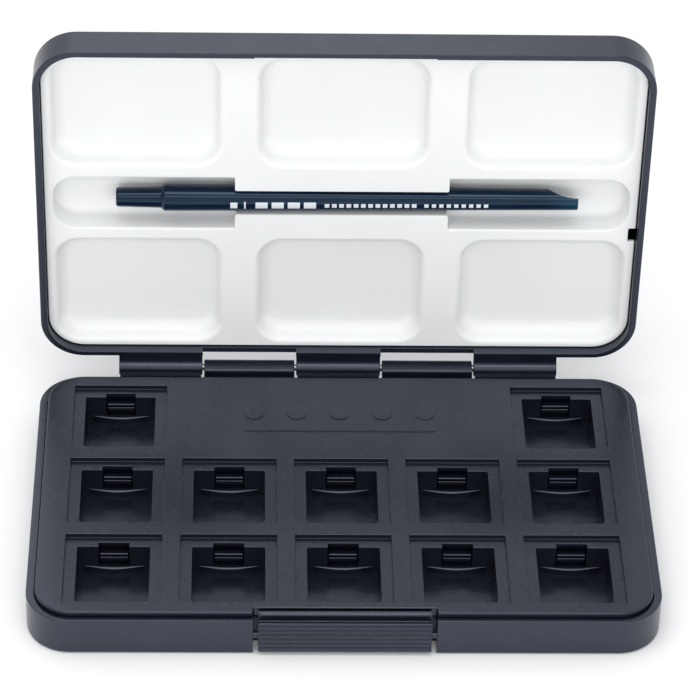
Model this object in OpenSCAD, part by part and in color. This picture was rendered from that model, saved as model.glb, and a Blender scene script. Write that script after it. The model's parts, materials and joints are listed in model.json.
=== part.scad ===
// Pocket watercolour box: twelve half-pan wells, a lid on a pin hinge, a lift-out palette
// and a pocket brush. Millimetres, +Z up, origin on the table under the middle of the base.
// The lid and everything in it are drawn shut and then swung open about the hinge pin.

/* [Case] */
// Width of the case, left to right
case_w = 155; // [154:0.5:165]
// Depth of the case, front to back, without the hinge
case_d = 94.5; // [94.5:0.5:104]
// Radius of the case's upright corners
corner_r = 11; // [10:0.5:11.5]
// Height of the base
base_h = 10.6; // [10.4:0.1:12]
// Height of the lid
lid_h = 10.9; // [10.9:0.1:12]
// Angle that the lid is swung open by, 0 is shut
lid_open = 90; // [0:5:90]
// Rounding of the base's bottom edge
bottom_round = 0.8; // [0.5:0.1:1.2]
// Rounding of the lid's top edge
lid_round = 2; // [1:0.1:2.2]

/* [Walls] */
// Thickness of the base's floor
base_floor = 1.5; // [1.2:0.1:1.5]
// Thickness of the base's side walls
base_side_wall = 2.1; // [1.8:0.1:2.1]
// Thickness of the base's front wall
base_front_wall = 1.5; // [1.4:0.1:1.5]
// Thickness of the base's back wall
base_back_wall = 1.4; // [1.2:0.1:1.4]
// Thickness of the lid's side walls
lid_side_wall = 1.75; // [1.4:0.05:1.75]
// Thickness of the lid's front wall
lid_front_wall = 1.5; // [1.45:0.05:1.5]
// Thickness of the lid's back wall
lid_back_wall = 1.3; // [1.1:0.05:1.3]
// Thickness of the lid's top
lid_top = 1.2; // [1:0.05:1.2]

/* [Pan tray] */
// Distance between neighbouring wells, left to right
pitch_x = 28.3; // [27.5:0.1:28.6]
// Distance between neighbouring wells, front to back
pitch_y = 29.4; // [29:0.1:29.6]
// Width of a well's shallow recess
recess_w = 23.8; // [22:0.1:24]
// Length of a well's shallow recess
recess_d = 25; // [24.6:0.1:25.4]
// Depth of a well's shallow recess
recess_depth = 1.3; // [1:0.1:1.4]
// Width of the hole that holds a half pan
hole_w = 17.9; // [17.5:0.1:18.5]
// Ledge behind the hole
ledge_back = 3.3; // [3.2:0.1:3.4]
// Ledge in front of the hole
ledge_front = 1.6; // [1.4:0.1:1.8]
// Height of the tray's raised lip above the base's rim
lip_h = 1.4; // [1.2:0.1:1.5]
// Height of a well's floor above the table
well_floor_z = 2.7; // [2.6:0.1:3]
// Width of a pan clip
clip_w = 7; // [6:0.1:7.2]
// Thickness of a pan clip
clip_t = 0.9; // [0.8:0.05:0.9]

/* [Latch] */
// Width of the press latch
latch_w = 42.1; // [40:0.1:42.2]
// Width of the gap that the latch sits in
latch_gap_w = 44.6; // [44.4:0.1:45]
// Distance between the latch's grip ribs
rib_pitch = 1.4; // [1.3:0.01:1.4]
// Number of grip ribs
rib_count = 7; // [5:1:7]

/* [Hinge] */
// Radius of a hinge knuckle
knuckle_r = 2.05; // [2:0.05:2.1]
// Radius of the hinge pin
pin_r = 0.88; // [0.8:0.01:0.9]
// Distance of the pin behind the base's back wall
pin_setback = 3.8; // [3.75:0.05:3.9]

/* [Palette] */
// Depth of the palette's face below the lid's rim
palette_inset = 2.8; // [2.8:0.1:2.9]
// Depth of a mixing well
mix_depth = 4.6; // [4:0.1:4.8]
// Width of a mixing well
mix_w = 43.6; // [42:0.1:43.8]
// Length of a mixing well
mix_d = 33.4; // [32:0.1:33.6]
// Corner radius of a mixing well
mix_r = 7; // [7:0.1:8]

/* [Brush] */
// Radius of the brush handle at its mouth
handle_r = 3.5; // [3.3:0.05:3.5]
// Radius of the brush handle at its slanted end
handle_end_r = 2.7; // [2.5:0.05:2.8]

/* [Hidden] */
$fn = 64;
overlap = 0.5;      // how far two solids of one piece run into each other
slip = 0.1;         // gap round a piece that drops into another of the same body
running = 0.05;     // radial gap between a pin and its bore
front_y = -case_d / 2;
back_y = case_d / 2;

// Lid and hinge
parting_gap = 0.1;
rim_z = base_h + parting_gap;
lid_top_z = rim_z + lid_h;
ceiling_z = lid_top_z - lid_top;
pin_y = back_y + pin_setback;
pin_z = base_h + 0.3;
bore_r = pin_r + running;
knuckle_gap = 0.5;
base_knuckle_x = [11.5, 35.1];
lid_knuckle_end_x = 57.4;
lid_knuckle_x = [
    [-lid_knuckle_end_x, -base_knuckle_x[1] - knuckle_gap],
    [-base_knuckle_x[0] + knuckle_gap, base_knuckle_x[0] - knuckle_gap],
    [base_knuckle_x[1] + knuckle_gap, lid_knuckle_end_x]
];
knuckle_chamfer = 0.6;
pin_end_x = lid_knuckle_end_x - 0.6;
stop_end_gap = 0.3;
stop_t = 1.25;
stop_reach = pin_setback - running;

// Knuckle notches in the lid, and the recess and groove that its latch takes hold of
notch_h = 1.9;
notch_slack = 0.4;
catch_wall = 1.2;
catch_w = 45;
groove_depth = 0.35;

// Tray
tray_top_z = base_h + lip_h;
tray_side = base_side_wall + slip;
tray_front = base_front_wall + slip;
tray_back = base_back_wall + slip;
tray_plate_h = lip_h + 0.9;
ledge_z = tray_top_z - recess_depth;
cup_wall = 1;
hole_r = 1;
hole_front = -recess_d / 2 + ledge_front;
hole_back = recess_d / 2 - ledge_back;
latch_bay_y = front_y + 3.4;
WELLS = concat(
    [for (c = [-2:2]) [c, -1]],
    [for (c = [-2:2]) [c, 0]],
    [[-2, 1], [2, 1]]
);

// Pan clips, measured from the middle of their well
clip_y = hole_back + 1.1;
clip_root_y = clip_y + clip_t / 2;
clip_root_z = well_floor_z + 1.65;
ledge_t = 0.8;
clip_top_z = ledge_z - 2.6;
clip_slack = 0.25;
clip_room = 0.7;
grip_z = ledge_z - 3.75;
grip_r = 0.7;
grip_reach = 0.2;   // how far the grip stands into the pan's hole

// Latch
latch_z = [0.7, base_h - 1.1];
latch_y = [front_y - 0.3, front_y + 0.9];
latch_lip = [0.45, base_h - 0.5];
rib_r = 0.35;
rib_top_z = base_h - 0.65;
hook_y = [front_y + 1.3, front_y + 2.2];
hook_z = [base_h - 2.2, base_h + 1.6];
hook_round = 0.3;
trunnion_r = 0.8;
trunnion_y = front_y + 1.2;
trunnion_z = 5.2;
trunnion_reach = 2.6;
trunnion_root = 3;
boss_w = 2.5;
bay_wall = 1;
bead_r = 0.45;
bead_y = hook_y[0] + 0.1;
bead_z = base_h + 1;
bead_slack = 0.1;
gap_depth = 4.75;

// Palette, measured shut
face_z = rim_z + palette_inset;
skin = 0.9;
mix_x = 52.1;
mix_y = 27.8;
brush_well_x = [27.2, 73.5];
brush_well_d = 15.8;
brush_z = face_z + 2.6;
groove_w = 7.2;
groove_r = groove_w / 2;
groove_floor_z = brush_z + groove_r;
pry_x = 73.7;
pry_y = [7.3, 11.4];

// Brush, measured along its own length
mouth_x = -45.9;
tip_x = 60.3;
plug_end_x = -57.5;
plug_r = [2.45, 2.72];
bore_plug_r = 2.6;
bore_end_x = 4;
tip_bore_r = 1.9;
tip_bore_x = 26;
slant_r = 12.6;
slant_turn = -38;
socket_r = 2;
socket_x = -41.5;
ferrule_end_x = -20;
bristle_tip_x = -2;

function clip_name(i) = str("pan_clip_", i < 9 ? "0" : "", i + 1);

// ---- shared shapes ----

// Swings what is drawn shut about the hinge pin
module swung_open() {
    translate([0, pin_y, pin_z])
        rotate([-lid_open, 0, 0])
            translate([0, -pin_y, -pin_z])
                children();
}

// A cylinder along X between two stations
module rod(x0, x1, r0, r1) {
    translate([x0, 0, 0])
        rotate([0, 90, 0])
            cylinder(h = x1 - x0, r1 = r0, r2 = r1);
}

module box(x, y, z) {
    translate([x[0], y[0], z[0]])
        cube([x[1] - x[0], y[1] - y[0], z[1] - z[0]]);
}

// Extrudes an outline drawn in Y and Z along X
module along_x(x0, x1) {
    translate([x0, 0, 0])
        rotate([90, 0, 90])
            linear_extrude(x1 - x0)
                children();
}

module rounded_rect(w, d, r) {
    square([w, d - 2 * r], center = true);
    square([w - 2 * r, d], center = true);
    for (x = [-1, 1], y = [-1, 1])
        translate([x * (w / 2 - r), y * (d / 2 - r)])
            circle(r);
}

// The case's outline, moved in by its side, front and back walls
module inset_outline(side, front, back) {
    translate([0, (front - back) / 2])
        rounded_rect(
            case_w - 2 * side,
            case_d - front - back,
            corner_r - (2 * side + front + back) / 4
        );
}

// A block with round upright corners and a rounded bottom edge
module case_block(h, edge_r) {
    hull()
        for (x = [-1, 1], y = [-1, 1])
            translate([x * (case_w / 2 - corner_r), y * (case_d / 2 - corner_r), 0])
                rotate_extrude($fn = 48)
                    corner_profile(h, edge_r);
}

module corner_profile(h, edge_r) {
    square([corner_r - edge_r, h]);
    translate([0, edge_r])
        square([corner_r, h - edge_r]);
    translate([corner_r - edge_r, edge_r])
        circle(edge_r, $fn = 32);
}

// ---- base ----

module base_knuckle(side) {
    x = side * (base_knuckle_x[0] + base_knuckle_x[1]) / 2;
    half = (base_knuckle_x[1] - base_knuckle_x[0]) / 2;
    front = -pin_setback + running;
    translate([0, pin_y, pin_z])
        along_x(x - half, x + half) {
            circle(knuckle_r);
            polygon([
                [0, -knuckle_r],
                [0, knuckle_r],
                [front + knuckle_chamfer, knuckle_r],
                [front, knuckle_r - knuckle_chamfer],
                [front, base_h - pin_z],
                [front - overlap, base_h - pin_z],
                [front - overlap, -knuckle_r]
            ]);
        }
}

// Walls round the gap that the latch sits in. The side walls hold the latch's stubs.
module latch_bay() {
    half = latch_gap_w / 2 + boss_w;
    box(
        [-half, half],
        [front_y + overlap, front_y + gap_depth + bay_wall],
        [base_floor - overlap, base_h - 1]
    );
}

module base_shell() {
    color("#3c4048")
    difference() {
        union() {
            difference() {
                case_block(base_h, bottom_round);
                translate([0, 0, base_floor])
                    linear_extrude(base_h)
                        inset_outline(base_side_wall, base_front_wall, base_back_wall);
            }
            latch_bay();
            for (side = [-1, 1])
                base_knuckle(side);
        }
        box(
            [-latch_gap_w / 2, latch_gap_w / 2],
            [front_y - 1, front_y + gap_depth],
            [-1, base_h + 1]
        );
        for (side = [-1, 1])
            translate([0, trunnion_y, trunnion_z])
                rod(
                    side > 0 ? latch_gap_w / 2 - 1 : -latch_gap_w / 2 - trunnion_reach + 0.6,
                    side > 0 ? latch_gap_w / 2 + trunnion_reach - 0.6 : -latch_gap_w / 2 + 1,
                    trunnion_r + running,
                    trunnion_r + running
                );
        translate([0, pin_y, pin_z])
            rod(-lid_knuckle_end_x, lid_knuckle_end_x, bore_r, bore_r);
    }
}

module hinge_pin() {
    color("#2a2c30")
    translate([0, pin_y, pin_z])
        rod(-pin_end_x, pin_end_x, pin_r, pin_r);
}

// ---- pan tray ----

module at_well(i) {
    translate([WELLS[i][0] * pitch_x, WELLS[i][1] * pitch_y, 0])
        children();
}

// Walls of one well below the tray's top plate
module well_cup() {
    half = hole_w / 2 + cup_wall;
    z = [base_floor, tray_top_z - tray_plate_h + overlap];
    box([-half, half], [hole_front - cup_wall, hole_back + cup_wall], z);
    clip_half = clip_w / 2 + clip_slack + cup_wall;
    box([-clip_half, clip_half], [hole_back, clip_y + clip_t + clip_room + cup_wall], z);
}

module well_cut() {
    translate([0, 0, ledge_z])
        linear_extrude(recess_depth + 1)
            square([recess_w, recess_d], center = true);
    translate([0, (hole_front + hole_back) / 2, well_floor_z])
        linear_extrude(tray_top_z)
            rounded_rect(hole_w, hole_back - hole_front, hole_r);
    clip_half = clip_w / 2 + clip_slack;
    box(
        [-clip_half, clip_half],
        [hole_back - overlap, clip_y + clip_t + clip_room],
        [clip_root_z, ledge_z - ledge_t]
    );
    box(
        [-clip_half, clip_half],
        [hole_back - overlap, clip_y + clip_t / 2],
        [ledge_z - ledge_t - overlap, tray_top_z]
    );
    translate([0, clip_root_y, clip_root_z])
        rod(-clip_half, clip_half, clip_t / 2 + running, clip_t / 2 + running);
}

// Five plain drops over a line, in low relief on the flat panel between the two back wells
module drop_emblem() {
    drop_r = 2.6;
    drop_pitch = 11;
    line_h = 1.2;
    translate([0, pitch_y, tray_top_z - overlap])
        linear_extrude(overlap + 0.25) {
            for (i = [-2:2])
                translate([i * drop_pitch, 1.2]) {
                    circle(drop_r);
                    rotate(45)
                        square(drop_r);
                }
            translate([0, -5.6])
                square([2 * (2 * drop_pitch + drop_r), line_h], center = true);
        }
}

module pan_tray() {
    color("#3c4048")
    difference() {
        union() {
            translate([0, 0, tray_top_z - tray_plate_h])
                linear_extrude(tray_plate_h)
                    inset_outline(tray_side, tray_front, tray_back);
            for (i = [0:len(WELLS) - 1])
                at_well(i)
                    well_cup();
            drop_emblem();
        }
        for (i = [0:len(WELLS) - 1])
            at_well(i)
                well_cut();
        box(
            [-latch_gap_w / 2, latch_gap_w / 2],
            [front_y, latch_bay_y],
            [0, tray_top_z + 1]
        );
    }
}

// A sprung finger that holds one half pan. It bends back about its root.
module pan_clip(i) {
    color("#3c4048")
    at_well(i) {
        half = clip_w / 2;
        box([-half, half], [clip_y, clip_y + clip_t], [clip_root_z, clip_top_z]);
        translate([0, clip_root_y, clip_root_z])
            rod(-half, half, clip_t / 2, clip_t / 2);
        grip_y = hole_back - grip_reach + grip_r;
        box([-half, half], [grip_y, clip_y + overlap], [grip_z - grip_r, grip_z + grip_r]);
        translate([0, grip_y, grip_z])
            rod(-half, half, grip_r, grip_r);
    }
}

// ---- latch ----

// A press lever on two side stubs. Its hook stands behind the lid's front wall.
module latch() {
    color("#3c4048") {
        half = latch_w / 2;
        box([-half, half], latch_y, latch_z);
        box([-half, half], [latch_y[0], latch_y[0] + latch_lip[0]], [latch_z[0], latch_lip[1]]);
        for (i = [0:rib_count - 1])
            translate([0, latch_y[0], rib_top_z - i * rib_pitch])
                rod(-half, half, rib_r, rib_r);
        box([-half, half], [latch_y[1] - overlap, hook_y[1]], [hook_z[0], latch_z[1]]);
        box([-half, half], hook_y, [hook_z[0], hook_z[1] - hook_round]);
        box(
            [-half, half],
            [hook_y[0] + hook_round, hook_y[1] - hook_round],
            [hook_z[1] - 2 * hook_round, hook_z[1]]
        );
        for (y = [hook_y[0] + hook_round, hook_y[1] - hook_round])
            translate([0, y, hook_z[1] - hook_round])
                rod(-half, half, hook_round, hook_round);
        translate([0, bead_y, bead_z])
            rod(-half, half, bead_r, bead_r);
        for (side = [-1, 1])
            translate([side * (half + (trunnion_reach - trunnion_root) / 2), trunnion_y, trunnion_z])
                rotate([0, 90, 0])
                    cylinder(h = trunnion_reach + trunnion_root, r = trunnion_r, center = true);
    }
}

// ---- lid ----

module lid_knuckle(x) {
    translate([0, pin_y, pin_z]) {
        along_x(x[0], x[1]) {
            circle(knuckle_r);
            polygon([
                [0, rim_z - pin_z],
                [0, knuckle_r],
                [-pin_setback - overlap, knuckle_r],
                [-pin_setback - overlap, rim_z - pin_z]
            ]);
        }
        along_x(x[0] + stop_end_gap, x[1] - stop_end_gap)
            translate([0, -stop_reach])
                square([stop_t, stop_reach]);
    }
}

module lid_shell() {
    color("#3c4048")
    swung_open()
    difference() {
        union() {
            difference() {
                translate([0, 0, lid_top_z])
                    mirror([0, 0, 1])
                        case_block(lid_h, lid_round);
                translate([0, 0, rim_z - 1])
                    linear_extrude(ceiling_z - rim_z + 1)
                        inset_outline(lid_side_wall, lid_front_wall, lid_back_wall);
            }
            for (x = lid_knuckle_x)
                lid_knuckle(x);
        }
        for (side = [-1, 1]) {
            x = side * (base_knuckle_x[0] + base_knuckle_x[1]) / 2;
            half = (base_knuckle_x[1] - base_knuckle_x[0]) / 2 + notch_slack;
            box([x - half, x + half], [back_y - lid_back_wall - 1, pin_y], [rim_z - 1, rim_z + notch_h]);
        }
        box(
            [-catch_w / 2, catch_w / 2],
            [front_y + catch_wall, front_y + lid_front_wall + overlap],
            [rim_z - 1, face_z - 0.1]
        );
        box(
            [-catch_w / 2, catch_w / 2],
            [front_y + catch_wall - groove_depth, front_y + lid_front_wall],
            [bead_z - bead_r - bead_slack, bead_z + bead_r + bead_slack]
        );
        translate([0, pin_y, pin_z])
            rod(-lid_knuckle_end_x - 1, lid_knuckle_end_x + 1, bore_r, bore_r);
    }
}

// ---- palette ----

module mix_outline(grow) {
    for (x = [-1:1], y = [-1, 1])
        translate([x * mix_x, y * mix_y])
            rounded_rect(mix_w + 2 * grow, mix_d + 2 * grow, mix_r + grow);
}

// Outline of one brush well: round at its outer end and square at the bridge
module brush_well_outline(side, grow) {
    r = 6;
    length = brush_well_x[1] - brush_well_x[0] + 2 * grow;
    middle = side * (brush_well_x[0] + brush_well_x[1]) / 2;
    translate([middle, 0]) {
        rounded_rect(length, brush_well_d + 2 * grow, r + grow);
        translate([-side * length / 4, 0])
            square([length / 2, brush_well_d + 2 * grow], center = true);
    }
}

module mixing_palette() {
    color("#f4f5f4")
    swung_open()
    difference() {
        union() {
            translate([0, 0, face_z])
                linear_extrude(1)
                    inset_outline(
                        lid_side_wall + 2 * slip,
                        lid_front_wall + 2 * slip,
                        lid_back_wall + 2 * slip
                    );
            translate([0, 0, face_z])
                linear_extrude(mix_depth + skin)
                    mix_outline(skin);
            translate([0, 0, face_z])
                linear_extrude(ceiling_z - running - face_z) {
                    for (side = [-1, 1])
                        brush_well_outline(side, skin);
                    square([2 * brush_well_x[0], groove_w + 2 * skin], center = true);
                }
        }
        translate([0, 0, face_z - 1])
            linear_extrude(mix_depth + 1)
                mix_outline(0);
        translate([0, 0, face_z - 1])
            linear_extrude(groove_floor_z - face_z + 1)
                for (side = [-1, 1])
                    brush_well_outline(side, 0);
        box([-brush_well_x[0] - 1, brush_well_x[0] + 1], [-groove_r, groove_r], [face_z - 1, brush_z]);
        translate([0, 0, brush_z])
            rod(-brush_well_x[0] - 1, brush_well_x[0] + 1, groove_r, groove_r);
        box([pry_x, case_w / 2], pry_y, [face_z - 1, face_z + 2]);
    }
}

// ---- brush ----

module along_brush() {
    swung_open()
        translate([0, 0, brush_z])
            children();
}

module brush_handle() {
    color("#16233f")
    along_brush()
    difference() {
        union() {
            rod(mouth_x, mouth_x + 1, handle_r - 0.5, handle_r);
            rod(mouth_x + 1, tip_x, handle_r, handle_end_r);
        }
        rod(mouth_x - 1, bore_end_x, bore_plug_r, bore_plug_r);
        rod(tip_bore_x, tip_x + 1, tip_bore_r, tip_bore_r);
        rotate([slant_turn, 0, 0])
            translate([tip_x, -slant_r - 0.14, 0])
                cylinder(h = 4 * handle_r, r = slant_r, center = true);
    }
}

module brush_plug() {
    color("#16233f")
    along_brush()
    difference() {
        union() {
            rod(plug_end_x, plug_end_x + 0.4, plug_r[0] - 0.4, plug_r[0]);
            rod(plug_end_x + 0.4, mouth_x - running, plug_r[0], plug_r[1]);
            rod(mouth_x - 0.3, mouth_x + 10, bore_plug_r - running, bore_plug_r - running);
        }
        rod(socket_x, mouth_x + 11, socket_r, socket_r);
    }
}

module brush_ferrule() {
    color("#b9bdc4")
    along_brush()
    difference() {
        rod(socket_x + 0.2, ferrule_end_x, socket_r - running, socket_r - running);
        rod(socket_x + 1, ferrule_end_x + 1, socket_r - 0.35, socket_r - 0.35);
    }
}

module brush_bristles() {
    color("#8a5a34")
    along_brush() {
        root_r = socket_r - 0.4;
        belly_x = ferrule_end_x + 5;
        rod(ferrule_end_x - 8, ferrule_end_x, root_r, root_r);
        rod(ferrule_end_x, belly_x, root_r, root_r + 0.3);
        rod(belly_x, bristle_tip_x, root_r + 0.3, 0.15);
    }
}

base_shell();
pan_tray();
latch();
hinge_pin();
lid_shell();
mixing_palette();
brush_handle();
brush_plug();
brush_ferrule();
brush_bristles();
for (i = [0:len(WELLS) - 1])
    pan_clip(i);
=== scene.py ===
import json
import math

import bmesh
import bpy
from mathutils import Matrix, Vector
from mathutils.geometry import tessellate_polygon


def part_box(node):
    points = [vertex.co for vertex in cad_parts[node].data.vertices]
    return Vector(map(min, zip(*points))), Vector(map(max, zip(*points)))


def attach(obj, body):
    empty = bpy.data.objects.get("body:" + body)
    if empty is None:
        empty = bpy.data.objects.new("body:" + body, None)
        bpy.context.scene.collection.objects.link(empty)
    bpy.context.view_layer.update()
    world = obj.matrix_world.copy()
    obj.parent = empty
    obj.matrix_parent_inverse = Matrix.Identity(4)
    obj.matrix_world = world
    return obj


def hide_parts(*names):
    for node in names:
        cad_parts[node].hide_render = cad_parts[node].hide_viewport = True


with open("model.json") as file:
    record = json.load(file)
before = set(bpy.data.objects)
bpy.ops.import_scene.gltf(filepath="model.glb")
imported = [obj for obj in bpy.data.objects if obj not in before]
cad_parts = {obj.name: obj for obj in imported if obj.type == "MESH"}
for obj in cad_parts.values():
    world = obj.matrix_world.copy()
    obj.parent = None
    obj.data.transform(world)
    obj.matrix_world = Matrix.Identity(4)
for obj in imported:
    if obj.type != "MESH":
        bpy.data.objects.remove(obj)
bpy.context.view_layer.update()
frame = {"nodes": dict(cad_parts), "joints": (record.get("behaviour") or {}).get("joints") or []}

# Lengths are in millimetres until a mesh is stored. The lid and its contents are built shut,
# in the same frame as the CAD, and then swung open about the hinge pin.
MM = 0.001
joints = {j["name"]: j for j in frame["joints"]}
PIN = Vector(joints["lid_hinge"]["pos_m"]) / MM
TRUNNION = Vector(joints["latch_pivot"]["pos_m"]) / MM
base_lo, base_hi = (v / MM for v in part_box("base_shell"))
HALF_W = base_hi.x
FRONT = base_lo.y
BACK = -FRONT
CASE_CORNER = 11.0
FRONT_WALL = 1.5
SHELL_EDGE = 0.3

# Heights, with the lid shut.
BASE_FLOOR = 1.5
BASE_H = 10.6
RIM = 10.7
LID_TOP = 21.6
CEILING = 20.4
TRAY_TOP = 12.0
TRAY_UNDER = 9.7
LEDGE = 10.7
PAN_FLOOR = 2.7
FACE = 13.5
FLANGE = 1.0
BRUSH_Z = 16.1
BRUSH_DEPTH = 2.6

# The hinge and the latch.
KNUCKLE_R = 2.05
BORE_R = 0.93
BASE_KNUCKLES = [(-35.1, -11.5), (11.5, 35.1)]
LID_KNUCKLES = [(-57.4, -35.6), (-11.0, 11.0), (35.6, 57.4)]
LATCH_HALF = 21.05
LATCH_GAP = 22.3
BAY_BACK = FRONT + 4.75

# The wells: how far apart they are, and which (column, row) places are used.
PITCH_X, PITCH_Y = 28.3, 29.4
WELLS = [(c, -1) for c in range(-2, 3)] + [(c, 0) for c in range(-2, 3)] + [(-2, 1), (2, 1)]

TO_METRES = Matrix.Scale(MM, 4)
SWING = (
    TO_METRES
    @ Matrix.Translation(PIN)
    @ Matrix.Rotation(math.radians(-90), 4, "X")
    @ Matrix.Translation(-PIN)
)


# ---------------------------------------------------------------- outlines

def unit(x, y):
    length = math.hypot(x, y)
    return x / length, y / length


def box_corners(x0, x1, y0, y1, r):
    return [(x0, y0, r), (x1, y0, r), (x1, y1, r), (x0, y1, r)]


def outline(corners, n=8):
    """Points of a right-angled outline, anticlockwise, with each corner rounded by its own radius."""
    points = []
    for i, (x, y, r) in enumerate(corners):
        a, b = corners[i - 1], corners[(i + 1) % len(corners)]
        u, v = unit(a[0] - x, a[1] - y), unit(b[0] - x, b[1] - y)
        cx, cy = x + r * (u[0] + v[0]), y + r * (u[1] + v[1])
        for k in range(n + 1):
            c, s = math.cos(math.pi / 2 * k / n), math.sin(math.pi / 2 * k / n)
            points.append((cx - r * (v[0] * c + u[0] * s), cy - r * (v[1] * c + u[1] * s)))
    return points


def inset(corners, d):
    """The same outline moved inwards by d, or outwards where d is negative."""
    moved = []
    for i, (x, y, r) in enumerate(corners):
        a, b = corners[i - 1], corners[(i + 1) % len(corners)]
        e1, e2 = unit(x - a[0], y - a[1]), unit(b[0] - x, b[1] - y)
        convex = e1[0] * e2[1] - e1[1] * e2[0] > 0
        moved.append((
            x - d * (e1[1] + e2[1]),
            y + d * (e1[0] + e2[0]),
            max(r - d if convex else r + d, 0.03),
        ))
    return moved


def ring(bm, points, z):
    return [bm.verts.new((x, y, z)) for x, y in points]


def skin(bm, a, b):
    for i in range(len(a)):
        j = (i + 1) % len(a)
        bm.faces.new((a[i], a[j], b[j], b[i]))


def fill(bm, *rings):
    """A flat face with holes: the first ring is its edge."""
    edges = []
    for r in rings:
        for i in range(len(r)):
            pair = (r[i], r[(i + 1) % len(r)])
            edges.append(bm.edges.get(pair) or bm.edges.new(pair))
    bmesh.ops.triangle_fill(bm, use_beauty=True, use_dissolve=False, edges=edges, normal=(0, 0, 1))


def stack(bm, corners, levels, n=8):
    """Rings of one outline at (inset, height) levels, skinned. Returns the first and the last ring."""
    rings = [ring(bm, outline(inset(corners, d), n), z) for d, z in levels]
    for a, b in zip(rings, rings[1:]):
        skin(bm, a, b)
    return rings[0], rings[-1]


def quarter(steps, start=0, end=90):
    """Angles in radians, in equal steps."""
    return [math.radians(start + (end - start) * k / steps) for k in range(steps + 1)]


def edge_out(r, z, way=1, steps=4):
    """Levels from a flat face at height z round a convex edge to an upright wall; way 1 goes down."""
    return [(r * (1 - math.sin(a)), z - way * r * (1 - math.cos(a))) for a in quarter(steps)]


def edge_in(r, z, way=1, steps=4):
    """Levels from an upright wall round a concave edge to a flat face at height z; way 1 goes down."""
    return [(r * (1 - math.cos(a)), z + way * r * (1 - math.sin(a))) for a in quarter(steps)]


def lip(r, z, way=1, steps=4):
    """Levels from a flat face at height z over the edge of a hole; way 1 goes down."""
    return [(-r * (1 - math.sin(a)), z - way * r * (1 - math.cos(a))) for a in quarter(steps)]


# ---------------------------------------------------------------- meshes

SHARP_ANGLE = 32


def tool(bm, name="tool"):
    """A new object, still in millimetres."""
    bmesh.ops.recalc_face_normals(bm, faces=bm.faces)
    mesh = bpy.data.meshes.new(name)
    bm.to_mesh(mesh)
    bm.free()
    obj = bpy.data.objects.new(name, mesh)
    bpy.context.scene.collection.objects.link(obj)
    return obj


def dress(obj, material, body, slot, nodes=(), matrix=TO_METRES, weighted=True):
    """Turns an object into a finished piece: in metres, in place, shaded and on its body."""
    mesh = obj.data
    mesh.transform(matrix)
    mesh.materials.clear()
    mesh.materials.append(material)
    for p in mesh.polygons:
        p.use_smooth = True
        p.material_index = 0
    mesh.set_sharp_from_angle(angle=math.radians(SHARP_ANGLE))
    if weighted:
        modifier = obj.modifiers.new("weighted", "WEIGHTED_NORMAL")
        modifier.keep_sharp = True
        modifier.weight = 60
    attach(obj, body)
    if nodes:
        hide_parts(*nodes)
    return obj


def store(name, bm, *details, **more):
    """A mesh that needs no cuts, finished at once."""
    return dress(tool(bm, name), *details, **more)


def combine(obj, tools, operation):
    """Cuts or joins the tools and bakes the result into obj."""
    for t in tools:
        modifier = obj.modifiers.new("bool", "BOOLEAN")
        modifier.operation = operation
        modifier.solver = "MANIFOLD"
        modifier.object = t
    baked = bpy.data.meshes.new_from_object(obj.evaluated_get(bpy.context.evaluated_depsgraph_get()))
    obj.modifiers.clear()
    obj.data = baked
    for t in tools:
        bpy.data.objects.remove(t)
    return obj


def soften(obj, width, where, segments=2, angle=50):
    """Rounds the edges that are still sharp, where both their ends pass the test."""
    bm = bmesh.new()
    bm.from_mesh(obj.data)
    near = [v for v in bm.verts if where(v.co)]
    joined = [e for e in bm.edges if all(where(v.co) for v in e.verts)]
    bmesh.ops.dissolve_limit(bm, angle_limit=math.radians(0.5), verts=near, edges=joined)
    edges = [
        e for e in bm.edges
        if e.is_manifold
        and e.calc_face_angle() > math.radians(angle)
        and all(where(v.co) for v in e.verts)
    ]
    bmesh.ops.bevel(
        bm, geom=edges, offset=width, offset_type="OFFSET", segments=segments, profile=0.5,
        affect="EDGES", clamp_overlap=False, miter_outer="ARC",
    )
    bmesh.ops.triangulate(bm, faces=[f for f in bm.faces if len(f.verts) > 4])
    bm.to_mesh(obj.data)
    bm.free()
    return obj


def block(x0, x1, y0, y1, z0, z1):
    bm = bmesh.new()
    low = ring(bm, [(x0, y0), (x1, y0), (x1, y1), (x0, y1)], z0)
    high = ring(bm, [(x0, y0), (x1, y0), (x1, y1), (x0, y1)], z1)
    skin(bm, low, high)
    bm.faces.new(low[::-1])
    bm.faces.new(high)
    return tool(bm)


def bar(bm, profile, stations):
    """A closed (y, z) profile carried along X. Each station is (x, how far the profile is drawn in)."""
    rings = []
    count = len(profile)
    for x, d in stations:
        points = []
        for i, (y, z) in enumerate(profile):
            a, b = profile[i - 1], profile[(i + 1) % count]
            e = unit(b[0] - a[0], b[1] - a[1])
            points.append(bm.verts.new((x, y - e[1] * d, z + e[0] * d)))
        rings.append(points)
    for a, b in zip(rings, rings[1:]):
        skin(bm, a, b)
    for end in (rings[0], rings[-1]):
        bmesh.ops.triangulate(bm, faces=[bm.faces.new(end)])
    return rings


def stations(x0, x1, r, steps=3):
    """Where a bar's profile is drawn in so that its two ends are rounded by r."""
    near = [(x0 + r * (1 - math.sin(a)), r * (1 - math.cos(a))) for a in quarter(steps)][::-1]
    far = [(x1 - r * (1 - math.sin(a)), r * (1 - math.cos(a))) for a in quarter(steps)]
    return near + far


def arc(cy, cz, r, a0, a1, steps):
    return [
        (cy + r * math.cos(math.radians(a0 + (a1 - a0) * k / steps)),
         cz + r * math.sin(math.radians(a0 + (a1 - a0) * k / steps)))
        for k in range(steps + 1)
    ]


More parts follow.
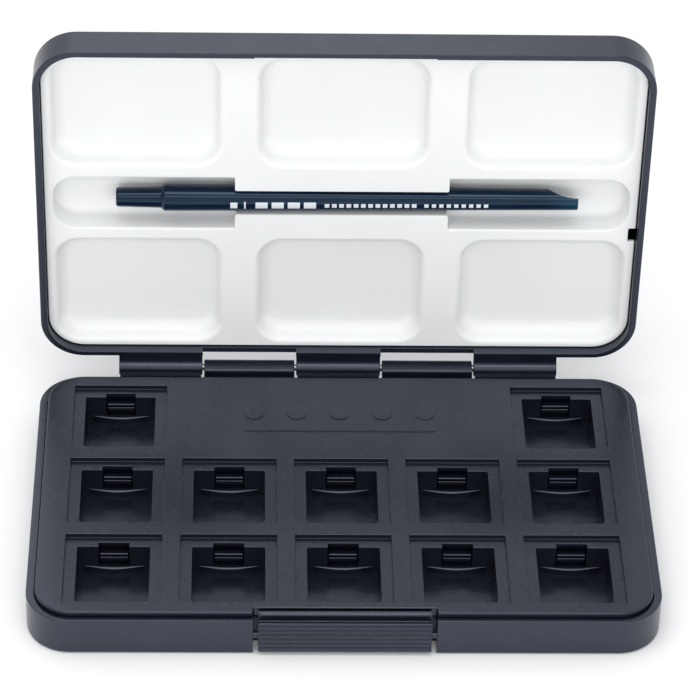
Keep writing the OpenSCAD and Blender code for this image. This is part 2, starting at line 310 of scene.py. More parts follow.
def revolve(bm, profile, around=48):
    """Turns (x, r) points about the X axis at Y 0, Z 0. A radius of 0 closes an end."""
    rings = []
    for x, r in profile:
        if r <= 0:
            rings.append([bm.verts.new((x, 0, 0))])
        else:
            rings.append([
                bm.verts.new((x, r * math.cos(turn), r * math.sin(turn)))
                for turn in (2 * math.pi * k / around for k in range(around))
            ])
    for a, b in zip(rings, rings[1:]):
        if len(a) == 1 or len(b) == 1:
            tip, loop = (a[0], b) if len(a) == 1 else (b[0], a)
            for k in range(around):
                bm.faces.new((tip, loop[k], loop[(k + 1) % around]))
        else:
            skin(bm, a, b)


# ---------------------------------------------------------------- materials

def new_material(name):
    material = bpy.data.materials.new(name)
    material.use_nodes = True
    nodes, links = material.node_tree.nodes, material.node_tree.links
    nodes.clear()
    out = nodes.new("ShaderNodeOutputMaterial")
    shader = nodes.new("ShaderNodeBsdfPrincipled")
    links.new(shader.outputs["BSDF"], out.inputs["Surface"])
    coord = nodes.new("ShaderNodeTexCoord")
    return material, nodes, links, shader, coord.outputs["Object"]


def noise_node(nodes, links, vector, scale, detail=3, rough=0.55):
    node = nodes.new("ShaderNodeTexNoise")
    node.inputs["Scale"].default_value = scale
    node.inputs["Detail"].default_value = detail
    node.inputs["Roughness"].default_value = rough
    links.new(vector, node.inputs["Vector"])
    return node.outputs["Fac"]


def ramp(nodes, links, fac, stops):
    node = nodes.new("ShaderNodeValToRGB")
    links.new(fac, node.inputs["Fac"])
    elements = node.color_ramp.elements
    while len(elements) < len(stops):
        elements.new(0.5)
    for element, (position, colour) in zip(elements, stops):
        element.position = position
        element.color = (*colour, 1) if len(colour) == 3 else colour
    return node.outputs["Color"]


def spread(nodes, links, fac, low, high):
    node = nodes.new("ShaderNodeMapRange")
    links.new(fac, node.inputs["Value"])
    node.inputs["From Min"].default_value = 0.3
    node.inputs["From Max"].default_value = 0.7
    node.inputs["To Min"].default_value = low
    node.inputs["To Max"].default_value = high
    return node.outputs["Result"]


def bumps(nodes, links, shader, layers):
    """layers: (height socket, distance in metres, strength)."""
    normal = None
    for height, distance, strength in layers:
        node = nodes.new("ShaderNodeBump")
        node.inputs["Distance"].default_value = distance
        node.inputs["Strength"].default_value = strength
        links.new(height, node.inputs["Height"])
        if normal:
            links.new(normal, node.inputs["Normal"])
        normal = node.outputs["Normal"]
    links.new(normal, shader.inputs["Normal"])


def moulded(name, dark, light, rough, specular, grain, wave=0.05, tint=(1.0, 1.0, 1.0)):
    """Moulded plastic: a fine tool grain, faint flow variation and a few handling smudges."""
    material, nodes, links, shader, place = new_material(name)
    flow = noise_node(nodes, links, place, 55, 4)
    fine = noise_node(nodes, links, place, 4200, 2)
    smudge = noise_node(nodes, links, place, 140, 3, 0.6)
    links.new(ramp(nodes, links, flow, [(0.3, dark), (0.7, light)]), shader.inputs["Base Color"])
    links.new(spread(nodes, links, smudge, rough[0], rough[1]), shader.inputs["Roughness"])
    shader.inputs["Specular IOR Level"].default_value = specular
    shader.inputs["Specular Tint"].default_value = (*tint, 1)
    bumps(nodes, links, shader, [(fine, 0.00002, grain), (flow, 0.0002, wave)])
    return material


COOL = (0.72, 0.79, 1.0)
NAVY = (0.6, 0.8, 1.0)
CASE = moulded(
    "case_plastic", (0.0045, 0.0056, 0.0100), (0.0070, 0.0084, 0.0140), (0.24, 0.30), 0.82, 0.04, 0.004, COOL,
)
TRAY = moulded(
    "tray_plastic", (0.0028, 0.0036, 0.0070), (0.0046, 0.0056, 0.0100), (0.25, 0.29), 0.82, 0.03, 0.004, COOL,
)
PALETTE = moulded(
    "palette_plastic", (0.808, 0.815, 0.815), (0.828, 0.835, 0.835), (0.28, 0.34), 0.4, 0.04, 0.004,
)
BRUSH = moulded(
    "brush_plastic", (0.0026, 0.0090, 0.0250), (0.0040, 0.0120, 0.0320), (0.08, 0.13), 0.45, 0.03, 0.01, NAVY,
)


def painted_light_towards_tip(material):
    """The handle's wall thins towards its slanted end, where more light comes through: that light is painted
    into the base colour as a lighter teal.
    """
    nodes, links = material.node_tree.nodes, material.node_tree.links
    shader = next(n for n in nodes if n.type == "BSDF_PRINCIPLED")
    body = shader.inputs["Base Color"].links[0].from_socket
    coord = next(n for n in nodes if n.type == "TEX_COORD")
    split = nodes.new("ShaderNodeSeparateXYZ")
    links.new(coord.outputs["Object"], split.inputs["Vector"])
    along = nodes.new("ShaderNodeMapRange")
    links.new(split.outputs["X"], along.inputs["Value"])
    along.interpolation_type = "SMOOTHSTEP"
    along.inputs["From Min"].default_value = 0.051
    along.inputs["From Max"].default_value = 0.061
    along.inputs["To Min"].default_value = 0.0
    along.inputs["To Max"].default_value = 0.32
    mix = nodes.new("ShaderNodeMixRGB")
    links.new(along.outputs["Result"], mix.inputs["Fac"])
    links.new(body, mix.inputs["Color1"])
    # Painted light: this lighter teal stands in for light shining through the thin wall near the tip.
    mix.inputs["Color2"].default_value = (0.012, 0.10, 0.16, 1)
    links.new(mix.outputs["Color"], shader.inputs["Base Color"])


painted_light_towards_tip(BRUSH)
INK = moulded("print_ink", (0.62, 0.66, 0.70), (0.72, 0.75, 0.78), (0.35, 0.45), 0.4, 0.1)


def metal(name, dark, light, rough, scale):
    material, nodes, links, shader, place = new_material(name)
    mapping = nodes.new("ShaderNodeMapping")
    mapping.inputs["Scale"].default_value = scale
    links.new(place, mapping.inputs["Vector"])
    drawn = noise_node(nodes, links, mapping.outputs["Vector"], 900, 3)
    links.new(ramp(nodes, links, drawn, [(0.3, dark), (0.7, light)]), shader.inputs["Base Color"])
    links.new(spread(nodes, links, drawn, rough[0], rough[1]), shader.inputs["Roughness"])
    shader.inputs["Metallic"].default_value = 1.0
    bumps(nodes, links, shader, [(drawn, 0.00001, 0.3)])
    return material


PIN_STEEL = metal("pin_steel", (0.30, 0.31, 0.33), (0.42, 0.43, 0.45), (0.25, 0.4), (0.05, 1, 1))
FERRULE = metal("ferrule_nickel", (0.70, 0.68, 0.62), (0.80, 0.78, 0.72), (0.12, 0.22), (1, 1, 0.1))


def bristle_material():
    material, nodes, links, shader, place = new_material("bristle_hair")
    mapping = nodes.new("ShaderNodeMapping")
    mapping.inputs["Scale"].default_value = (0.03, 1, 1)
    links.new(place, mapping.inputs["Vector"])
    hair = noise_node(nodes, links, mapping.outputs["Vector"], 6000, 3)
    brown = ramp(nodes, links, hair, [(0.3, (0.09, 0.035, 0.012)), (0.7, (0.33, 0.17, 0.07))])
    links.new(brown, shader.inputs["Base Color"])
    links.new(spread(nodes, links, hair, 0.4, 0.6), shader.inputs["Roughness"])
    bumps(nodes, links, shader, [(hair, 0.00008, 0.8)])
    return material


HAIR = bristle_material()


# ---------------------------------------------------------------- base

CASE_OUTLINE = box_corners(-HALF_W, HALF_W, FRONT, BACK, CASE_CORNER)


def rod_tool(x0, x1, y, z, r, around=40):
    bm = bmesh.new()
    revolve(bm, [(x0, 0), (x0, r), (x1, r), (x1, 0)], around)
    bmesh.ops.translate(bm, verts=bm.verts, vec=(0, y, z))
    return tool(bm)


def build_base():
    bm = bmesh.new()
    levels = [(0.8 * (1 - math.sin(a)), 0.8 * (1 - math.cos(a))) for a in quarter(6)]
    levels += edge_out(SHELL_EDGE, BASE_H)[::-1]
    foot, rim = stack(bm, CASE_OUTLINE, levels, 16)
    cavity = box_corners(-HALF_W + 2.1, HALF_W - 2.1, FRONT + FRONT_WALL, BACK - 1.4, 9.2)
    mouth, floor = stack(bm, cavity, lip(0.25, BASE_H) + edge_in(0.6, BASE_FLOOR), 16)
    fill(bm, foot)
    fill(bm, rim, mouth)
    fill(bm, floor)
    base = tool(bm, "base_shell_moulding")
    knuckles = []
    for x0, x1 in BASE_KNUCKLES:
        profile = (
            [(-4.4, -KNUCKLE_R)] + arc(0, 0, KNUCKLE_R, 270, 450, 20)
            + arc(-3.15, 1.45, 0.6, 90, 180, 5) + [(-3.75, -0.28), (-4.4, -0.28)]
        )
        bm = bmesh.new()
        bar(bm, [(PIN.y + y, PIN.z + z) for y, z in profile], stations(x0, x1, 0.15))
        knuckles.append(tool(bm))
    bay = block(-24.8, 24.8, FRONT + 0.5, BAY_BACK + 1.0, 1.0, BASE_H - 1.0)
    combine(base, knuckles + [bay], "UNION")
    cuts = [block(-LATCH_GAP, LATCH_GAP, FRONT - 1, BAY_BACK, -1, BASE_H + 1)]
    for side in (-1, 1):
        x0, x1 = sorted((side * (LATCH_GAP - 1), side * (LATCH_GAP + 2)))
        cuts.append(rod_tool(x0, x1, TRUNNION.y, TRUNNION.z, 0.85))
    cuts.append(rod_tool(-57, 57, PIN.y, PIN.z, BORE_R))
    combine(base, cuts, "DIFFERENCE")
    soften(base, 0.15, lambda co: co.y < BAY_BACK + 0.2 and abs(co.x) < LATCH_GAP + 0.1)
    return dress(base, CASE, "base", "case_plastic", ["base_shell"])


# ---------------------------------------------------------------- tray

def hole_corners(reach, r=0.9):
    """A pan's hole with the clip's slot behind it, reaching back to y = reach."""
    deep = min(0.2, max(reach - 9.2, 0.04) / 2.2)
    return [
        (-8.95, -10.9, r), (8.95, -10.9, r), (8.95, 9.2, 0.5), (3.75, 9.2, deep),
        (3.75, reach, deep), (-3.75, reach, deep), (-3.75, 9.2, deep), (-8.95, 9.2, 0.5),
    ]


def shifted(corners, x, y):
    return [(cx + x, cy + y, r) for cx, cy, r in corners]


DROP_R = 2.6
DROPS = [(-22 + 11 * i, PITCH_Y + 1.2) for i in range(5)]


def drop_points(x, y, d):
    r = DROP_R - d
    turns = [math.radians(135 + 270 * k / 18) for k in range(19)]
    return [(x + r * math.cos(a), y + r * math.sin(a)) for a in turns] + [(x, y + r * math.sqrt(2))]


def build_tray():
    bm = bmesh.new()
    side, front, back, notch = 75.3, -45.65, 45.75, -43.85
    rim = [
        (-side, front, 9.1), (-LATCH_GAP, front, 0.5), (-LATCH_GAP, notch, 0.4), (LATCH_GAP, notch, 0.4),
        (LATCH_GAP, front, 0.5), (side, front, 9.1), (side, back, 9.1), (-side, back, 9.1),
    ]
    top, under = stack(bm, rim, edge_out(0.45, TRAY_TOP, 1, 5) + [(0, TRAY_UNDER)], 12)
    mouths, cups = [], []
    for c, r in WELLS:
        x, y = c * PITCH_X, r * PITCH_Y
        recess = shifted(box_corners(-11.9, 11.9, -12.5, 12.5, 0.35), x, y)
        mouth, seat = stack(bm, recess, lip(0.22, TRAY_TOP, 1, 3) + edge_in(0.12, LEDGE, 1, 3), 4)
        hole = shifted(hole_corners(10.75), x, y)
        edge, sill = stack(bm, hole, lip(0.18, LEDGE, 1, 3) + [(0, 9.92)], 4)
        fill(bm, seat, edge)
        slot = shifted(hole_corners(11.9), x, y)
        high = ring(bm, outline(slot, 4), 9.9)
        skin(bm, sill, high)
        low = ring(bm, outline(slot, 4), 4.0)
        skin(bm, high, low)
        pan = shifted(hole_corners(9.22), x, y)
        step = ring(bm, outline(pan, 4), 3.98)
        skin(bm, low, step)
        floor = ring(bm, outline(pan, 4), PAN_FLOOR)
        skin(bm, step, floor)
        fill(bm, floor)
        mouths.append(mouth)
        cup = shifted([
            (-9.95, -11.9, 1.2), (9.95, -11.9, 1.2), (9.95, 10.2, 0.8), (4.75, 10.2, 0.3),
            (4.75, 12.9, 0.5), (-4.75, 12.9, 0.5), (-4.75, 10.2, 0.3), (-9.95, 10.2, 0.8),
        ], x, y)
        brim, foot = stack(bm, cup, [(0, TRAY_UNDER)] + edge_in(0.3, BASE_FLOOR, 1, 3), 4)
        fill(bm, foot)
        cups.append(brim)
    shoulder, crest = TRAY_TOP + 0.19, TRAY_TOP + 0.25
    for x, y in DROPS:
        low = ring(bm, drop_points(x, y, 0), TRAY_TOP)
        mid = ring(bm, drop_points(x, y, 0.06), shoulder)
        high = ring(bm, drop_points(x, y, 0.22), crest)
        skin(bm, low, mid)
        skin(bm, mid, high)
        fill(bm, high)
        mouths.append(low)
    line = box_corners(-24.6, 24.6, PITCH_Y - 6.2, PITCH_Y - 5.0, 0.58)
    low, high = stack(bm, line, [(0, TRAY_TOP), (0.06, shoulder), (0.2, crest)], 4)
    fill(bm, high)
    mouths.append(low)
    fill(bm, top, *mouths)
    fill(bm, under, *cups)
    return store("pan_tray_moulding", bm, TRAY, "base", "tray_plastic", ["pan_tray"])


def build_toe(index, c, r):
    """The curved foot below a clip, where the pan's floor turns up."""
    bm = bmesh.new()
    half, count = 7.2, 28
    wall, buried, foot, crest = 9.2, 9.5, 2.6, 4.45
    rows = []
    for k in range(count + 1):
        x = -half + 2 * half * k / count
        bow = math.cos(math.pi / 2 * x / (half * 1.02)) ** 1.2
        out, fall = 0.12 + 0.98 * bow, 0.08 + 0.42 * bow
        profile = [(buried, foot), (buried, crest)]
        profile += [(wall - out * math.sin(a), crest - fall * (1 - math.cos(a))) for a in quarter(7)]
        profile += [(wall - out, foot)]
        rows.append([bm.verts.new((x + c * PITCH_X, y + r * PITCH_Y, z)) for y, z in profile])
    for a, b in zip(rows, rows[1:]):
        skin(bm, a, b)
    for end in (rows[0], rows[-1]):
        bm.faces.new(end)
    return store(f"pan_toe_{index:02d}", bm, TRAY, "base", "tray_plastic")


def build_clip(index, c, r):
    name = f"pan_clip_{index:02d}"
    y0, y1, top, root = 10.3, 11.2, 8.1, 4.35
    profile = arc(y1 - 0.45, root, 0.45, 180, 360, 8)
    profile += arc(y1 - 0.3, top - 0.3, 0.3, 0, 90, 4)
    profile += arc(y0 - 0.55, top - 0.35, 0.32, 90, 260, 8) + [(y0, top - 0.85), (y0, top - 1.0)]
    profile += arc(y0 - 0.55, top - 1.45, 0.32, 70, 260, 7) + [(y0, top - 1.95)]
    bm = bmesh.new()
    moved = [(y + r * PITCH_Y, z) for y, z in profile]
    bar(bm, moved, stations(c * PITCH_X - 3.5, c * PITCH_X + 3.5, 0.12))
    return store(f"{name}_finger", bm, TRAY, name, "tray_plastic", [name])


# ---------------------------------------------------------------- latch

def build_latch():
    half = LATCH_HALF
    face, back = FRONT - 0.3, FRONT + 0.9
    hook_front, hook_back, hook_top = FRONT + 1.3, FRONT + 2.2, BASE_H + 1.6
    ledge, web, lip_back = 9.5, 8.4, face + 0.45
    rib_top, rib_pitch, rib_r = 9.95, 1.4, 0.34
    profile = [(back - 0.15, 0.7), (back, 0.85), (back, web - 0.15), (back + 0.15, web)]
    profile += [(hook_back - 0.2, web), (hook_back, web + 0.2)]
    profile += arc(hook_back - 0.3, hook_top - 0.3, 0.3, 0, 90, 5)
    profile += arc(hook_front + 0.3, hook_top - 0.3, 0.3, 90, 150, 4)
    profile += arc(hook_front + 0.1, BASE_H + 1.0, 0.45, 130, 260, 9)
    profile += [(hook_front, 11.1), (hook_front, ledge + 0.15), (hook_front - 0.15, ledge)]
    profile += [(lip_back + 0.1, ledge), (lip_back, ledge + 0.1)]
    profile += arc(face, rib_top, rib_r, 25, 260, 10)
    for i in range(1, 7):
        z = rib_top - rib_pitch * i
        profile += [(face + 0.1, z + rib_pitch / 2)]
        profile += arc(face, z, rib_r, 100, 260, 8)
    profile += arc(face + 0.4, 1.1, 0.4, 180, 270, 4)
    edge, corner = 0.18, 0.9
    sections = stations(-half, half, edge, 3)
    for k in range(1, 9):
        x = half - edge - corner * k / 8
        sections += [(x, 0.0), (-x, 0.0)]
    rings = []
    bm = bmesh.new()
    for x, d in sorted(set(sections)):
        from_end = half - abs(x)
        lift = 0.0
        if from_end < corner:
            lift = corner - math.sqrt(max(corner ** 2 - (corner - from_end) ** 2, 0))
        floor = 0.7 + lift
        points = []
        count = len(profile)
        for i, (y, z) in enumerate(profile):
            a, b = profile[i - 1], profile[(i + 1) % count]
            e = unit(b[0] - a[0], b[1] - a[1])
            # The small step keeps points apart where the rounded lower corner flattens them.
            height = max(z + e[0] * d, floor + d - 0.002 * i)
            points.append(bm.verts.new((x, y - e[1] * d, height)))
        rings.append(points)
    for a, b in zip(rings, rings[1:]):
        skin(bm, a, b)
    for a, b, c in tessellate_polygon([[Vector((y, z, 0)) for y, z in profile]]):
        for end in (rings[0], rings[-1]):
            bm.faces.new((end[a], end[b], end[c]))
    latch = store("latch_lever", bm, CASE, "latch", "case_plastic", ["latch"])
    for side in (-1, 1):
        bm = bmesh.new()
        inner, tip = side * (half - 3), side * (half + 2.6)
        revolve(bm, [(inner, 0), (inner, 0.8), (tip - side * 0.2, 0.8), (tip, 0.6), (tip, 0)], 32)
        bmesh.ops.translate(bm, verts=bm.verts, vec=(0, TRUNNION.y, TRUNNION.z))
        store("latch_stub_" + ("left" if side < 0 else "right"), bm, CASE, "latch", "case_plastic")
    return latch


# ---------------------------------------------------------------- lid

def build_lid():
    bm = bmesh.new()
    levels = [(2.0 * (1 - math.sin(a)), LID_TOP - 2.0 * (1 - math.cos(a))) for a in quarter(10)]
    levels += edge_out(SHELL_EDGE, RIM, -1)[::-1]
    crown, rim = stack(bm, CASE_OUTLINE, levels, 16)
    cavity = box_corners(-HALF_W + 1.75, HALF_W - 1.75, FRONT + FRONT_WALL, BACK - 1.3, 9.45)
    mouth, ceiling = stack(bm, cavity, lip(0.12, RIM, -1) + edge_in(0.6, CEILING, -1), 16)
    fill(bm, crown)
    fill(bm, rim, mouth)
    fill(bm, ceiling)
    lid = tool(bm, "lid_shell_moulding")
    parts = []
    for x0, x1 in LID_KNUCKLES:
        low = -0.2
        start = math.degrees(math.asin(low / KNUCKLE_R))
        profile = [(-4.4, low)] + arc(0, 0, KNUCKLE_R, 180 - start, 450, 26) + [(-4.4, KNUCKLE_R)]
        bm = bmesh.new()
        bar(bm, [(PIN.y + y, PIN.z + z) for y, z in profile], stations(x0, x1, 0.15))
        parts.append(tool(bm))
        parts.append(block(x0 + 0.3, x1 - 0.3, PIN.y + 0.02, PIN.y + 1.25, PIN.z - 3.75, PIN.z))
    combine(lid, parts, "UNION")
    catch = 22.5
    cuts = [
        block(-catch, catch, FRONT + 1.2, FRONT + 2.0, RIM - 1, FACE - 0.1),
        block(-catch, catch, FRONT + 0.85, FRONT + FRONT_WALL, 11.05, 12.15),
        rod_tool(-60, 60, PIN.y, PIN.z, BORE_R),
    ]
    for x0, x1 in BASE_KNUCKLES:
        cuts.append(block(x0 - 0.4, x1 + 0.4, BACK - 2.3, PIN.y, RIM - 1, RIM + 1.9))
    combine(lid, cuts, "DIFFERENCE")
    return dress(lid, CASE, "lid", "case_plastic", ["lid_shell"], SWING)


# ---------------------------------------------------------------- palette

def dish(top_r, foot_r, depth, slope, steps=6):
    """Levels (inset, depth) of a soft dish: over its edge, down a sloping wall and out to its floor."""
    tilt = math.radians(slope)
    levels = [(top_r * math.sin(a), top_r * (1 - math.cos(a))) for a in quarter(steps, 0, slope)]
    fall = depth - (top_r + foot_r) * (1 - math.cos(tilt))
    run = levels[-1][0] + fall / math.tan(tilt)
    down = levels[-1][1] + fall
    for a in quarter(steps + 2, slope, 0):
        levels.append((
            run + foot_r * (math.sin(tilt) - math.sin(a)),
            down + foot_r * (math.cos(a) - math.cos(tilt)),
        ))
    return levels


def brush_bed(wall, groove):
    """The two brush wells and the groove that joins them, as one outline."""
    x0, x1, y1 = 27.2, 73.5 - wall, 7.9 - wall
    r = max(6 - wall, 0.5)
    g = max(groove, 0.06)
    small = min(0.5, g / 2)
    return [
        (-x1, -y1, r), (-x0, -y1, 0.5), (-x0, -g, small), (x0, -g, small), (x0, -y1, 0.5), (x1, -y1, r),
        (x1, y1, r), (x0, y1, 0.5), (x0, g, small), (-x0, g, small), (-x0, y1, 0.5), (-x1, y1, r),
    ]


def wall_at(profile, z):
    """The inset of a dish's wall at a depth."""
    for p, q in zip(profile, profile[1:]):
        if p[1] <= z <= q[1]:
            return p[0] + (q[0] - p[0]) * (z - p[1]) / (q[1] - p[1])
    return 0


def build_palette():
    bm = bmesh.new()
    side, front, back = 75.55, -45.55, 45.75
    flange = [
        (-side, front, 9.2), (side, front, 9.2), (side, 7.3, 0.3), (73.7, 7.3, 0.4),
        (73.7, 11.4, 0.4), (side, 11.4, 0.3), (side, back, 9.2), (-side, back, 9.2),
    ]
    top, under = stack(bm, flange, edge_out(0.3, FACE, -1) + [(0, FACE + FLANGE)], 12)
    mouths, backs = [], []
    depth = 4.6
    for x in (-52.1, 0, 52.1):
        for y in (-27.8, 27.8):
            well = shifted(box_corners(-21.8, 21.8, -16.7, 16.7, 7.0), x, y)
            levels = [(d - 0.45, FACE + z) for d, z in dish(1.3, 3.2, depth, 72)]
            mouth, floor = stack(bm, well, levels, 14)
            fill(bm, floor)
            mouths.append(mouth)
            outside = [(0, FACE + FLANGE)] + edge_in(1.2, FACE + depth + 0.9, -1, 5)
            brim, foot = stack(bm, inset(well, -0.9), outside, 14)
            fill(bm, foot)
            backs.append(brim)
    bed = []
    groove_r, axis_depth = 3.6, BRUSH_DEPTH
    profile = dish(0.5, 1.4, 6.2, 84, 5)
    for d, z in profile:
        groove = groove_r
        if z > axis_depth:
            groove = math.sqrt(max(groove_r ** 2 - (z - axis_depth) ** 2, 0))
        edge = max(0.0, 0.4 - z) * 0.8
        bed.append((z, d - 0.4, groove + edge))
    for z in [axis_depth + groove_r * math.sin(math.radians(a)) for a in range(0, 90, 9)]:
        bed.append((z, wall_at(profile, z) - 0.4, math.sqrt(groove_r ** 2 - (z - axis_depth) ** 2)))
    bed = sorted(bed)
    thinned = [bed[0]]
    for b in bed[1:]:
        if b[0] - thinned[-1][0] > 0.02:
            thinned.append(b)
    rings = [ring(bm, outline(brush_bed(wall, groove), 8), FACE + z) for z, wall, groove in thinned]
    for a, b in zip(rings, rings[1:]):
        skin(bm, a, b)
    fill(bm, rings[-1])
    mouths.append(rings[0])
    back_bed = [
        (-74.4, -8.8, 6.9), (-26.3, -8.8, 0.5), (-26.3, -4.5, 0.5), (26.3, -4.5, 0.5), (26.3, -8.8, 0.5),
        (74.4, -8.8, 6.9), (74.4, 8.8, 6.9), (26.3, 8.8, 0.5), (26.3, 4.5, 0.5), (-26.3, 4.5, 0.5),
        (-26.3, 8.8, 0.5), (-74.4, 8.8, 6.9),
    ]
    brim, foot = stack(bm, back_bed, [(0, FACE + FLANGE), (0, CEILING - 0.25), (0.2, CEILING - 0.05)], 8)
    fill(bm, foot)
    backs.append(brim)
    fill(bm, top, *mouths)
    fill(bm, under, *backs)
    return store("palette_tray", bm, PALETTE, "palette", "palette_plastic", ["mixing_palette"], SWING)


# ---------------------------------------------------------------- brush

MOUTH, TIP = -45.9, 60.3
SLANT = -38
BRUSH_PLACE = SWING @ Matrix.Translation((0, 0, BRUSH_Z))


def handle_radius(x):
    return 3.5 - 0.8 * max(x - MOUTH - 1.0, 0) / (TIP - MOUTH - 1.0)


def build_brush():
    bm = bmesh.new()
    outside = [(MOUTH, 2.62), (MOUTH, 2.85), (MOUTH + 0.12, 3.0)]
    outside += [
        (MOUTH + 0.12 + 0.88 * k / 5, 3.0 + 0.5 * math.sin(math.pi / 2 * k / 5)) for k in range(1, 6)
    ]
    outside += [(x, handle_radius(x)) for x in range(-40, 60, 5)]
    outside += [(TIP - 0.15, handle_radius(TIP - 0.15)), (TIP, handle_radius(TIP) - 0.12)]
    inside = [(TIP, 2.02), (TIP - 0.1, 1.9), (26, 1.9), (26, 0)]
    revolve(bm, [(4, 0), (4, 2.6), (MOUTH + 0.1, 2.6)] + outside + inside, 72)
    handle = tool(bm, "brush_handle_tube")
    cutter = bmesh.new()
    bmesh.ops.create_cone(
        cutter, cap_ends=True, segments=160, radius1=12.6, radius2=12.6, depth=20,
        matrix=Matrix.Rotation(math.radians(SLANT), 4, "X") @ Matrix.Translation((TIP, -12.74, 0)),
    )
    combine(handle, [tool(cutter)], "DIFFERENCE")
    dress(handle, BRUSH, "brush", "brush_plastic", ["brush_handle"], BRUSH_PLACE)

    bm = bmesh.new()
    end = -57.5
    revolve(bm, [
        (end, 0), (end, 2.1), (end + 0.1, 2.3), (end + 0.3, 2.42), (end + 0.5, 2.46),
        (MOUTH - 0.1, 2.72), (MOUTH - 0.05, 2.6), (MOUTH, 2.55), (MOUTH + 9.7, 2.55), (MOUTH + 10, 2.35),
        (MOUTH + 10, 2.0), (-41.5, 2.0), (-41.5, 0),
    ], 64)
    store("brush_plug_cap", bm, BRUSH, "brush_head", "brush_plastic", ["brush_plug"], BRUSH_PLACE)

    bm = bmesh.new()
    revolve(bm, [
        (-41.3, 0), (-41.3, 1.95), (-27.6, 1.95), (-27.3, 1.78), (-26.9, 1.78), (-26.6, 1.95), (-25.9, 1.95),
        (-25.6, 1.78), (-25.2, 1.78), (-24.9, 1.95), (-20.2, 1.95), (-20, 1.85), (-20.1, 1.65), (-40.5, 1.65),
        (-40.5, 0),
    ], 48)
    store("brush_ferrule_tube", bm, FERRULE, "brush_head", "ferrule_metal", ["brush_ferrule"], BRUSH_PLACE)

    bm = bmesh.new()
    hairs = [(-28, 0), (-28, 1.6), (-20, 1.6)]
    hairs += [
        (-20 + 18 * t / 10, 1.6 + 0.3 * math.sin(math.pi * min(t / 5, 1)) - 1.45 * (t / 10) ** 2.2)
        for t in range(1, 10)
    ]
    hairs += [(-2, 0.12), (-2, 0)]
    revolve(bm, hairs, 48)
    for v in bm.verts:
        if v.co.x > -20 and v.co.yz.length > 0.2:
            swell = 1 + 0.03 * math.sin(11 * math.atan2(v.co.z, v.co.y))
            v.co.y *= swell
            v.co.z *= swell
    store("brush_bristle_tuft", bm, HAIR, "brush_head", "bristle", ["brush_bristles"], BRUSH_PLACE)


def print_patch(bm, x0, x1, centre, half_height):
    """A thin printed mark that lies on the handle, centred at a height on the side that faces out."""
    steps = 8
    layers = []
    for lift in (-0.02, 0.02):
        rows = []
        for x in (x0, x1):
            r = handle_radius(x) + lift
            a0 = math.asin((centre - half_height) / r)
            a1 = math.asin((centre + half_height) / r)
            turns = [a0 + (a1 - a0) * k / steps for k in range(steps + 1)]
            rows.append([bm.verts.new((x, r * math.sin(a), -r * math.cos(a))) for a in turns])
        layers.append(rows[0] + rows[1][::-1])
    low, high = layers
    skin(bm, low, high)
    for layer in layers:
        n = steps + 1
        for k in range(steps):
            bm.faces.new((layer[k], layer[k + 1], layer[2 * n - 2 - k], layer[2 * n - 1 - k]))


# Printed marks: (first start, first end, step, count, centre height, half height).
MARKS = [
    (-28.4, -26.6, 0.0, 1, 0.15, 0.9),
    (-24.9, -24.5, 0.0, 1, 0.15, 1.1),
    (-22.0, -18.9, 4.1, 4, 0.15, 0.95),
    (-4.4, -3.2, 1.85, 13, 0.2, 0.6),
    (21.0, 22.1, 1.9, 9, 0.2, 0.55),
]


def build_print():
    bm = bmesh.new()
    for x0, x1, step, count, centre, half_height in MARKS:
        for i in range(count):
            print_patch(bm, x0 + step * i, x1 + step * i, centre, half_height)
    return store("brush_print_bars", bm, INK, "brush", None, (), BRUSH_PLACE, weighted=False)


# ---------------------------------------------------------------- everything

build_base()
build_tray()
for number, (column, row) in enumerate(WELLS, 1):
    build_clip(number, column, row)
    build_toe(number, column, row)
build_latch()
build_lid()
build_palette()
build_brush()
build_print()
pin = frame["nodes"]["hinge_pin"]
pin.data.materials.clear()
pin.data.materials.append(PIN_STEEL)


# ---------------------------------------------------------------- floor, light and camera

def floor_material():
    material, nodes, links, shader, place = new_material("studio_floor")
    patch = noise_node(nodes, links, place, 3, 3)
    pale = ramp(nodes, links, patch, [(0.3, (0.93, 0.93, 0.93)), (0.7, (0.95, 0.95, 0.95))])
    links.new(pale, shader.inputs["Base Color"])
    shader.inputs["Roughness"].default_value = 0.9
    shader.inputs["Specular IOR Level"].default_value = 0.1
    return material


bpy.ops.mesh.primitive_plane_add(size=12, location=(0, 0, 0))
floor = bpy.context.object
floor.name = "studio_floor"
floor.data.materials.append(floor_material())

world = bpy.data.worlds.new("studio")
bpy.context.scene.world = world
world.use_nodes = True
background = world.node_tree.nodes["Background"]
background.inputs["Color"].default_value = (0.97, 0.985, 1.0, 1)
background.inputs["Strength"].default_value = 0.83


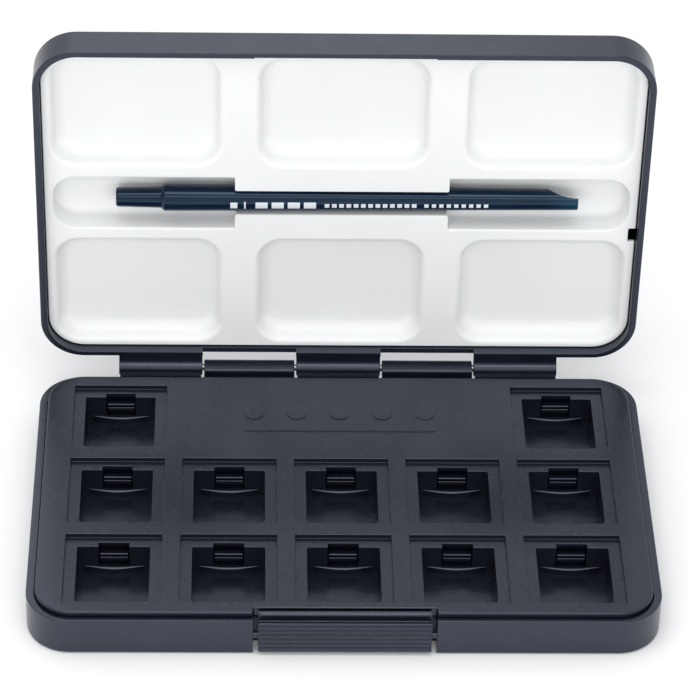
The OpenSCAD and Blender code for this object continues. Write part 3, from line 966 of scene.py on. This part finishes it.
def soft_light(name, place, target, width, height, watts, mirrored=True):
    data = bpy.data.lights.new(name, "AREA")
    data.shape = "RECTANGLE"
    data.size, data.size_y = width, height
    data.energy = watts
    light = bpy.data.objects.new(name, data)
    light.visible_glossy = mirrored
    bpy.context.scene.collection.objects.link(light)
    light.location = place
    light.rotation_euler = (Vector(target) - Vector(place)).to_track_quat("-Z", "Y").to_euler()


soft_light("key_softbox", (-0.1, -0.15, 1.2), (0, 0, 0.03), 0.9, 0.6, 4.3)
soft_light("front_fill", (-0.1, -1.3, 0.25), (0, 0, 0.06), 1.6, 0.5, 6.0, mirrored=False)
soft_light("front_strip", (-0.05, -0.95, 0.95), (0, 0, 0.06), 1.3, 0.1, 1.6)
soft_light("back_softbox", (-0.3, 0.9, 0.9), (0, 0, 0.1), 1.0, 0.4, 1.2)


SENSOR_MM = 36
PHOTO_PIXELS = 688
FOCAL_PIXELS = 3524.889
CAMERA_PLACE = (-0.025312, -0.675962, 0.585171)
CAMERA_TURN = (-37.899, -2.105, 1.573)


def photo_camera():
    """A long lens, looking down and slightly across. The turn is its pitch, yaw and roll in degrees."""
    pitch, yaw, roll = (math.radians(a) for a in CAMERA_TURN)
    forward = Vector((-math.sin(yaw) * math.cos(pitch), math.cos(yaw) * math.cos(pitch), math.sin(pitch)))
    level = Vector((math.cos(yaw), math.sin(yaw), 0))
    up = level.cross(forward)
    right = level * math.cos(roll) + up * math.sin(roll)
    top = -level * math.sin(roll) + up * math.cos(roll)
    data = bpy.data.cameras.new("camera")
    data.sensor_width = SENSOR_MM
    data.lens = FOCAL_PIXELS * SENSOR_MM / PHOTO_PIXELS
    data.clip_start, data.clip_end = 0.01, 50
    camera = bpy.data.objects.new("camera", data)
    bpy.context.scene.collection.objects.link(camera)
    matrix = Matrix((right, top, -forward)).transposed().to_4x4()
    matrix.translation = Vector(CAMERA_PLACE)
    camera.matrix_world = matrix
    bpy.context.scene.camera = camera


photo_camera()
bpy.context.scene.view_settings.view_transform = "Standard"
bpy.context.scene.view_settings.look = "None"
